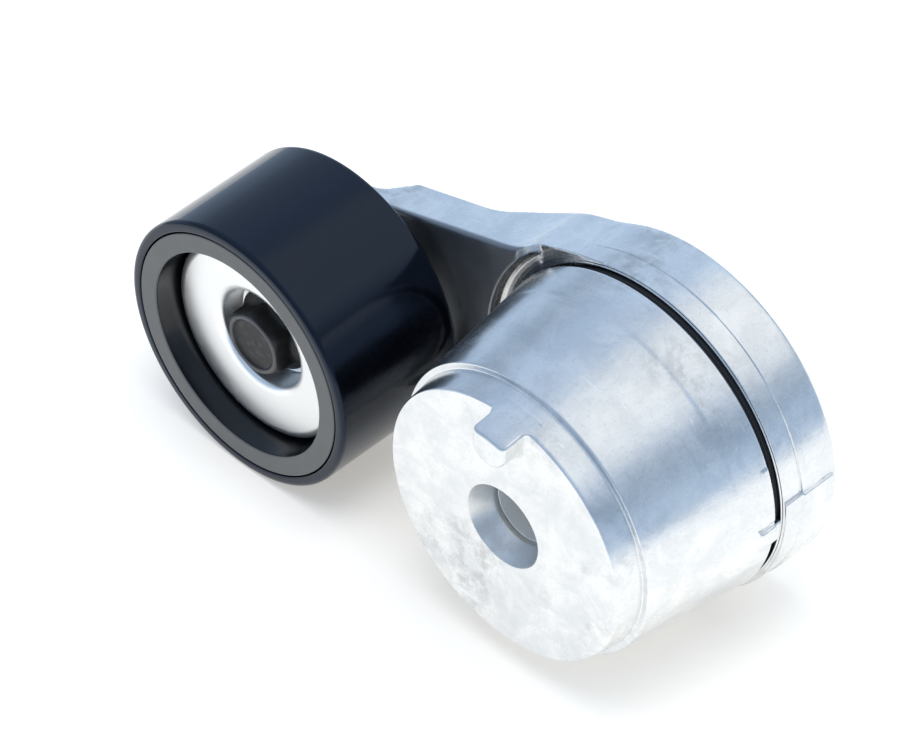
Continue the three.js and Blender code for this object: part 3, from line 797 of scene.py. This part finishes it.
def spring_case():
    radii = [BORE_R, BORE_MOUTH_R, 17, 34.5, FACE_R, STEP_ROOT_R, STEP_R, 43.5, CASE_RIM_R]
    heights = [TAB_TOP_Y, 0, BORE_MOUTH_DEPTH, STEP_Y, CAVITY_FLOOR_Y, 16, PARTING_Y, CASE_RIM_Y, SKIRT_Y]
    grid = RoundGrid(
        graded(BORE_R - 1, CASE_RIM_R + 2, 1.1, radii),
        graded(TAB_TOP_Y - 1, 56.0, 1.4, heights),
        turn_grid(-90.0, [(-66, -53), (-12, 24), (TAB_DEG - 12, TAB_DEG + 13)]),
    )
    mesh = contoured_mesh("cast_spring_case", case_field, grid)
    return piece("cast_spring_case", mesh, "base", ALUMINIUM, ["spring_case"])


# ---- arm casting --------------------------------------------------------------------------------------
CAP_OUTLINE = rounded([
    (HUB_INNER_R, HUB_START_Y, 0.4),
    (HUB_OUTER_R, HUB_START_Y, 0.6),
    (HUB_OUTER_R, CAP_ROOF_Y, 2),
    (CAP_INNER_R, CAP_ROOF_Y, 1.5),
    (CAP_INNER_R, 53, 0.5),
    (44.8, 50.4, 0.3),
    (SKIRT_LIP_R, SKIRT_Y - 0.1, 0.1),
    (SKIRT_LIP_R + 0.35, SKIRT_Y - 0.1, 0.1),
    (SKIRT_LIP_R + 0.45, SKIRT_Y + 0.15, 0.05),
    (SKIRT_FRONT_R, SKIRT_Y + 0.15, 0.4),
    (SKIRT_FRONT_R + 0.1, SKIRT_RIDGE_Y, 0.1),
    (CAP_R - 0.1, SKIRT_RIDGE_Y + 0.1, 0.25),
    (CAP_R, CAP_BACK_Y, 1.8),
    (RECESS_R, CAP_BACK_Y, 0.8),
    (RECESS_R, RECESS_Y, 0.4),
    (HUB_INNER_R, RECESS_Y, 0.3),
])

CAP_INTERIOR = rounded([
    (0, WEB_FRONT_Y - 6, 0),
    (WEB_CLEARANCE_R, WEB_FRONT_Y - 6, 0),
    (WEB_CLEARANCE_R, SKIRT_Y, 3.0),
    (44.9, SKIRT_Y, 0.3),
    (44.7, 50.4, 0.3),
    (CAP_INNER_R - 0.1, 53, 0.5),
    (CAP_INNER_R - 0.1, CAP_ROOF_Y + 0.5, 1.5),
    (0, CAP_ROOF_Y + 0.5, 0),
])

SEAT_OUTLINE = rounded([
    (0, SEAT_Y, 0),
    (SEAT_R, SEAT_Y, 0.5),
    (SEAT_R, 42, 2),
    (SEAT_R + 3, WEB_FRONT_Y + 1, 0.5),
    (0, WEB_FRONT_Y + 1, 0),
])


def web_outline():
    """Outline of the web: straight sides that run tangent into the round eye at the pulley end."""
    upper = [(-18.2, 40, 0), (-10.8, 45.2, 0), (-23.4, 42.5, 4), (-33, 39.7, 3), (-40, 36.3, 3)]
    tangent = math.pi / 2 + WEB_TAPER
    eye = [
        (-CENTRE_DISTANCE + WEB_EYE_R * math.cos(angle), WEB_EYE_R * math.sin(angle), 0)
        for angle in np.linspace(tangent, 2 * math.pi - tangent, WEB_EYE_STEPS)
    ]
    mirrored = [(x, -z, reach) for x, z, reach in reversed(upper)]
    return rounded([*upper, *eye, *mirrored])


WEB_OUTLINE = web_outline()


FRONT_RAMP = rounded([
    (-37.6, 30, 0),
    (-37.6, WEB_FRONT_Y, 0.2),
    (-32.2, SKIRT_Y, 0.2),
    (60, SKIRT_Y, 0),
    (60, 30, 0),
])

BACK_SLOPE = rounded([
    (-130, EYE_BACK_Y, 0),
    (-91.6, EYE_BACK_Y, 3),
    (-84.7, WEB_BACK_Y, 0.8),
    (-56.5, WEB_BACK_Y, 4),
    (-36, CAP_BACK_Y + 0.2, 1),
    (-36, 80, 0),
    (-130, 80, 0),
])


def web_field(p):
    back = (p[:, 1] - WEB_FRONT_Y) / (CAP_BACK_Y - WEB_FRONT_Y)
    narrowing = 1 + (WEB_DRAFT - 1) * back
    outline = outline_distance(p[:, 0], p[:, 2] / narrowing, WEB_OUTLINE)
    blank = common(outline, slab(p[:, 1], WEB_FRONT_Y, CAP_BACK_Y - 0.5), blend=1.6)
    ramp = outline_distance(p[:, 0], p[:, 1], FRONT_RAMP)
    slope = outline_distance(p[:, 0], p[:, 1], BACK_SLOPE)
    blank = minus(blank, ramp, blend=0.3)
    blank = minus(blank, slope, blend=0.9)
    return minus(blank, turned_field(p, CAP_INTERIOR), blend=0.7)


def stop_rib_fields(p):
    """Ribs under the cap's end wall that stop just clear of the case's dog at both ends of the travel."""
    centre = DOG_DEG - math.degrees(ARM_ANGLE)
    free = centre - DOG_HALF_DEG - STOP_SLACK_DEG
    loaded = centre + DOG_HALF_DEG + STOP_SLACK_DEG + TRAVEL_DEG
    heights = (STOP_RIB_START_Y, CAP_ROOF_Y + 0.5)
    return [
        sector_field(p, 36, CAP_INNER_R + 1, start, start + STOP_RIB_DEG, *heights, blend=0.3)
        for start in (free - STOP_RIB_DEG, loaded)
    ]


def square_pocket_field(p):
    side = common(
        slab(p[:, 0], DRIVE_X - DRIVE_HALF, DRIVE_X + DRIVE_HALF),
        slab(p[:, 2], -DRIVE_HALF, DRIVE_HALF),
        blend=1.5,
    )
    return common(side, slab(p[:, 1], WEB_BACK_Y - DRIVE_DEPTH, WEB_BACK_Y + DRIVE_DEPTH), blend=0.4)


def pin_mark_depth(p):
    """Depth of the shallow round dent that an ejector pin leaves on the skirt."""
    angle = math.radians(PIN_MARK_DEG) - ARM_ANGLE
    spot = np.array([CAP_R * math.cos(angle), PIN_MARK_Y, CAP_R * math.sin(angle)])
    aside = np.linalg.norm(p - spot, axis=1) / PIN_MARK_R
    return PIN_MARK_DEPTH * np.exp(-aside ** 4)


def cap_field(p):
    """Cap and hub. The mould's halves don't quite meet, so the part behind the parting line is shifted."""
    behind = np.clip((p[:, 1] - SKIRT_RIDGE_Y) / 0.1, 0, 1)
    return turned_field(p - behind[:, None] * MOULD_SHIFT, CAP_OUTLINE)


def arm_field(p):
    cap = cap_field(p)
    land_back_y = CAP_BACK_Y - 2
    land = sector_field(p, 45, LAND_R, LAND_FROM_DEG, LAND_TO_DEG, SKIRT_RIDGE_Y, land_back_y, blend=0.5)
    lip = sector_field(p, 45, CAP_R + 0.3, LAND_FROM_DEG, LAND_TO_DEG, SKIRT_Y + 0.4, land_back_y, blend=0.4)
    cap = union(cap, land, lip, blend=0.3)
    body = union(cap, web_field(p), blend=0.9)
    body = minus(body, disc_field(p, RECESS_R, RECESS_Y, 90), blend=0.4)
    body = union(body, turned_field(p, SEAT_OUTLINE, -CENTRE_DISTANCE), blend=2.0)
    seat_radii = (SPRING_SEAT_INNER_R, SPRING_SEAT_OUTER_R)
    spring_seat = sector_field(p, *seat_radii, -85, -78, 41.2, CAP_ROOF_Y + 0.5)
    body = union(body, *stop_rib_fields(p), spring_seat, blend=0.6)
    hole = disc_field(p, SHANK_R + 0.3, SEAT_Y - 2, 80, -CENTRE_DISTANCE)
    return minus(body, hole, square_pocket_field(p), blend=0.4) + pin_mark_depth(p)


def arm_casting():
    radii = [HUB_INNER_R, HUB_OUTER_R, RECESS_R, CAP_INNER_R, SKIRT_LIP_R, CAP_R, LAND_R, WEB_CLEARANCE_R]
    heights = [HUB_START_Y, SEAT_Y, WEB_FRONT_Y, SKIRT_Y, SKIRT_RIDGE_Y]
    heights += [CAP_ROOF_Y, WEB_BACK_Y, RECESS_Y, CAP_BACK_Y]
    grid = RoundGrid(
        graded(HUB_INNER_R - 1, CENTRE_DISTANCE + WEB_EYE_R + 1, 0.95, radii),
        graded(HUB_START_Y - 1, CAP_BACK_Y + 1, 1.0, heights),
        turn_grid(0.0, [(PIN_MARK_DEG - 12, PIN_MARK_DEG), (150, 211), (303, 307), (356, 360)]),
    )
    mesh = contoured_mesh("cast_swing_arm", arm_field, grid, into_arm_frame)
    return piece("cast_swing_arm", mesh, "arm", ALUMINIUM, ["arm_casting"])


# ---- pieces on the main axis --------------------------------------------------------------------------
def pivot_shaft():
    lip_y = SHAFT_END_Y - 1.4
    outline = [
        (BORE_R, SHAFT_START_Y, 0.3),
        (SHAFT_R, SHAFT_START_Y, 0.4),
        (SHAFT_R, lip_y, 0.2),
        (SHAFT_R + 2.4, lip_y, 0.4),
        (SHAFT_R + 1.7, SHAFT_END_Y, 0.7),
        (BORE_R + 0.8, SHAFT_END_Y, 0.3),
        (BORE_R, SHAFT_END_Y - 1, 0.4),
    ]
    return turned_piece("hollow_pivot_shaft", outline, "base", SHAFT_STEEL, "pivot_shaft")


def retaining_plate():
    rim_r = RECESS_R - 1.5
    outline = [
        (SHAFT_R + 0.3, plate_low.y, 0.2),
        (rim_r, plate_low.y, 0.4),
        (rim_r, plate_high.y, 0.8),
        (rim_r - 3, plate_high.y, 0.4),
        (rim_r - 4, plate_high.y - 0.7, 0.5),
        (SHAFT_R + 4.4, plate_high.y - 0.7, 0.5),
        (SHAFT_R + 3.6, plate_high.y, 0.4),
        (SHAFT_R + 0.3, plate_high.y, 0.2),
    ]
    return turned_piece("pressed_retaining_plate", outline, "base", ZINC, "retaining_plate")


def thrust_washer():
    outline = [
        (SHAFT_R + 0.4, washer_low.y, 0.2),
        (RECESS_R - 2.2, washer_low.y, 0.3),
        (RECESS_R - 2.2, washer_high.y, 0.3),
        (SHAFT_R + 0.4, washer_high.y, 0.2),
    ]
    return turned_piece("moulded_thrust_washer", outline, "arm", POLYMER, "thrust_washer")


def dust_seal():
    """Ring with a soft lip that closes the gap between the case and the cap."""
    low, high = box_mm("dust_seal")
    outline = [
        (CAP_INNER_R, low.y, 0.4),
        (44.3, low.y, 0.6),
        (44.3, low.y + 0.8, 0.3),
        (43.7, low.y + 1.4, 0.3),
        (44.2, high.y, 0.4),
        (CAP_INNER_R, high.y, 0.4),
    ]
    return turned_piece("ring_dust_seal", outline, "base", POLYMER, "dust_seal")


# ---- pieces on the pulley axis ------------------------------------------------------------------------
def pulley_shell():
    outline = [
        (SHELL_BORE_R, PULLEY_FRONT_Y, 0.5),
        (PULLEY_R, PULLEY_FRONT_Y, 1.7),
        (PULLEY_R, PULLEY_BACK_Y, 1.7),
        (SHELL_BORE_R, PULLEY_BACK_Y, 0.5),
    ]
    return turned_piece(
        "rolled_pulley_shell", outline, "pulley", SHELL_BLACK, "pulley_shell",
        PULLEY_CENTRE,
    )


def pulley_hub():
    outline = [
        (HUB_RIM_R, PULLEY_FRONT_Y, 0.35),
        (HUB_RIM_R, PULLEY_BACK_Y, 0.35),
        (PULLEY_RECESS_R + 0.3, PULLEY_BACK_Y, 0.5),
        (28.9, HUB_WEB_BACK_Y, 1.5),
        (BEARING_POCKET_R, HUB_WEB_BACK_Y, 0.4),
        (BEARING_POCKET_R, HUB_WEB_FRONT_Y, 0.4),
        (28.8, HUB_WEB_FRONT_Y, 1.5),
        (PULLEY_RECESS_R, PULLEY_FRONT_Y, 0.6),
    ]
    return turned_piece(
        "turned_pulley_hub", outline, "pulley", HUB_BLACK, "pulley_hub",
        PULLEY_CENTRE,
    )


def front_dust_shield():
    bore_r = SHANK_R + 0.4
    outline = [
        (bore_r, 17.2, 0.2),
        (13.3, 17.2, 0.7),
        (14.0, 10.6, 1.3),
        (15.4, 9.7, 0.9),
        (26.6, 8.7, 1.4),
        (28.2, 9.6, 0.9),
        (28.2, 11.5, 0.2),
        (27.3, 11.5, 0.2),
        (26.4, 9.9, 1.0),
        (15.9, 10.9, 0.9),
        (14.9, 11.6, 0.9),
        (14.4, 18.4, 0.9),
        (bore_r, 18.4, 0.2),
    ]
    return turned_piece(
        "pressed_front_shield", outline, "arm", ZINC_SHIELD, "front_dust_shield",
        PULLEY_CENTRE, sharp_deg=ROUNDED_CREASE_DEG,
    )


def rear_dust_shield():
    bore_r = SHANK_R + 0.4
    outline = [
        (bore_r, 33, 0.2),
        (27.9, 33, 1.0),
        (27.9, 37, 0.2),
        (26.9, 37, 0.2),
        (26.8, 34, 0.7),
        (bore_r, 34, 0.2),
    ]
    return turned_piece(
        "pressed_rear_shield", outline, "arm", ZINC_SHIELD, "rear_dust_shield",
        PULLEY_CENTRE,
    )


BOLT_BODY = rounded([
    (0, BOLT_HEAD_Y + 1.2, 0),
    (BOLT_HEX_HALF, BOLT_SEAT_Y - 4.4, 1.2),
    (BOLT_FLANGE_R, BOLT_SEAT_Y - 1.6, 0.7),
    (BOLT_FLANGE_R, BOLT_SEAT_Y, 0.3),
    (SHANK_R, BOLT_SEAT_Y, 0.2),
    (SHANK_R, BOLT_END_Y, 0.8),
    (0, BOLT_END_Y, 0),
])

HEX_CAP = rounded([
    (0, BOLT_HEAD_Y + 1.1, 0),
    (6.8, BOLT_HEAD_Y + 0.9, 0.8),
    (7.5, BOLT_HEAD_Y, 0.3),
    (8.1, BOLT_HEAD_Y, 0.3),
    (10.2, BOLT_HEAD_Y + 1.4, 0.4),
    (10.2, BOLT_SEAT_Y - 1, 0),
    (0, BOLT_SEAT_Y - 1, 0),
])


def bolt_field(p):
    """Hexagon head with a dished top and a broad flange, on a plain shank."""
    sides = []
    for turn in range(3):
        angle = math.radians(60 * turn)
        across = p[:, 0] * math.cos(angle) + p[:, 2] * math.sin(angle)
        sides.append(np.abs(across) - BOLT_HEX_HALF)
    head = common(*sides, turned_field(p, HEX_CAP), blend=0.5)
    return union(head, turned_field(p, BOLT_BODY), blend=0.8)


def pulley_bolt():
    reach = BOLT_FLANGE_R + 1
    across = np.arange(-reach, reach, BOLT_STEP)
    heights = [BOLT_HEAD_Y, BOLT_SEAT_Y - 4, BOLT_SEAT_Y, BOLT_END_Y]
    along = graded(BOLT_HEAD_Y - 1, BOLT_END_Y + 1, 1.2, heights)
    mesh = contoured_mesh("flange_pulley_bolt", bolt_field, Grid(across, along, across), into_arm_frame)
    mesh.transform(Matrix.Translation(Vector((PULLEY_X, 0, PULLEY_Z)) * MM))
    return piece("flange_pulley_bolt", mesh, "arm", BOLT_BLACK, ["pulley_bolt"])


# ---- studio -------------------------------------------------------------------------------------------
FLOOR_R = 0.4
FLOOR_COLOR = (0.80, 0.775, 0.73)
FLOOR_GLOW = 0.40
FLOOR_GLOW_COLOR = (1.0, 0.95, 0.87)
BACKDROP = (1.05, 1.05, 1.05)
WINDOW = (0.98, 1.03, 1.08)
WINDOW_DIRECTION = (0.3, 0.52, 0.8)
WINDOW_EDGE = math.cos(math.radians(37))
WINDOW_CORE = math.cos(math.radians(14))
BACK_WALL = (0.62, 0.79, 1.02)
# Colour of the surroundings by the sine of the elevation
SKY = [
    (0.0, (0.44, 0.58, 0.78)),
    (0.10, (0.48, 0.62, 0.82)),
    (0.24, (0.32, 0.43, 0.58)),
    (0.45, (0.33, 0.42, 0.55)),
    (0.70, (0.47, 0.61, 0.83)),
    (0.86, (0.50, 0.62, 0.80)),
]


def floor():
    """Plain pale round table top that glows, as in a light tent."""
    level = cad_box[0].z
    mesh = bpy.data.meshes.new("floor")
    angles = [math.radians(2 * i) for i in range(180)]
    rim = [(FLOOR_R * math.cos(a), FLOOR_R * math.sin(a), level) for a in angles]
    mesh.from_pydata(rim, [], [list(range(len(rim)))])
    made = bpy.data.objects.new("floor", mesh)
    bpy.context.scene.collection.objects.link(made)
    shader = Shader("floor_white", metallic=0.0)
    shader.surface.inputs["Emission Color"].default_value = (*FLOOR_GLOW_COLOR, 1)
    shader.surface.inputs["Emission Strength"].default_value = FLOOR_GLOW
    shader.surface.inputs["Specular IOR Level"].default_value = 0.0
    made.data.materials.append(shader.done(FLOOR_COLOR, 0.9))


def world():
    """Light of the studio: blue-grey walls, a paler one at the back left, a soft window, a white backdrop."""
    made = bpy.data.worlds.new("studio")
    made.use_nodes = True
    shader = Shader.of_world(made)
    apart = shader.node("ShaderNodeSeparateXYZ", {0: shader.place})
    ramp = shader.node("ShaderNodeValToRGB", {"Fac": apart.outputs["Z"]})
    first, *others, last = SKY
    stops = ramp.color_ramp.elements
    for stop, (position, color) in ((stops[0], first), (stops[1], last)):
        stop.position, stop.color = position, (*color, 1)
    for position, color in others:
        stops.new(position).color = (*color, 1)

    toward = Vector(WINDOW_DIRECTION).normalized()
    turned = shader.node("ShaderNodeVectorMath", {0: shader.place, 1: toward}, operation="DOT_PRODUCT")
    window = shader.between(turned.outputs["Value"], WINDOW_EDGE, WINDOW_CORE)
    at_back = shader.between(apart.outputs["Y"], 0.38, 0.56)
    at_left = shader.between(apart.outputs["X"], -0.35, 0.0, 0.7, 0.0)
    light = shader.mix(shader.math("MULTIPLY", at_back, at_left), ramp.outputs["Color"], BACK_WALL)
    light = shader.mix(window, light, WINDOW)
    seen = shader.node("ShaderNodeLightPath").outputs["Is Camera Ray"]
    shader.tree.links.new(shader.mix(seen, light, BACKDROP), shader.tree.nodes["Background"].inputs["Color"])
    bpy.context.scene.world = made


def direction(azimuth, elevation):
    """Unit vector from the object towards an azimuth and elevation, in degrees."""
    a, e = math.radians(azimuth), math.radians(elevation)
    return Vector((math.sin(a) * math.cos(e), -math.cos(a) * math.cos(e), math.sin(e)))


def softbox(name, azimuth, elevation, distance, size, power):
    """Soft square light that looks at the object from that direction."""
    light = bpy.data.lights.new(name, "AREA")
    light.size = size
    light.energy = power
    made = bpy.data.objects.new(name, light)
    bpy.context.scene.collection.objects.link(made)
    back = direction(azimuth, elevation)
    made.location = back * distance
    made.rotation_mode = "QUATERNION"
    made.rotation_quaternion = (-back).to_track_quat("-Z", "Y")
    return made


VIEW_AZIMUTH = 45.286
VIEW_ELEVATION = 44.015
VIEW_ROLL = -0.5145
VIEW_DISTANCE = 1560.07
VIEW_TARGET = (-26.63, 9.02, 26.16)
LENS = 260.0


def camera():
    data = bpy.data.cameras.new("camera")
    data.lens = LENS
    data.sensor_width = 36.0
    data.clip_end = 20.0
    made = bpy.data.objects.new("camera", data)
    bpy.context.scene.collection.objects.link(made)
    back = direction(VIEW_AZIMUTH, VIEW_ELEVATION)
    made.location = (Vector(VIEW_TARGET) + back * VIEW_DISTANCE) * MM
    made.rotation_mode = "QUATERNION"
    level = (-back).to_track_quat("-Z", "Y")
    made.rotation_quaternion = level @ Quaternion((0, 0, 1), math.radians(VIEW_ROLL))
    bpy.context.scene.camera = made


def studio():
    floor()
    world()
    overhead = softbox("ceiling_light", azimuth=20, elevation=84, distance=1.8, size=1.2, power=17)
    overhead.visible_glossy = False
    camera()
    view = bpy.context.scene.view_settings
    view.view_transform = "Standard"


# ---- everything together ------------------------------------------------------------------------------
def carried_over():
    """Gives every CAD node that still shows its procedural material."""
    for name, node in frame["nodes"].items():
        if node.hide_render:
            continue
        material = NODE_MATERIALS.get(name, BEARING)
        node.data.materials.clear()
        node.data.materials.append(material)
        node.data.shade_smooth()
        node.data.set_sharp_from_angle(angle=math.radians(CREASE_DEG))


spring_case()
arm_casting()
pivot_shaft()
retaining_plate()
thrust_washer()
dust_seal()
pulley_shell()
pulley_hub()
front_dust_shield()
rear_dust_shield()
pulley_bolt()
carried_over()
studio()
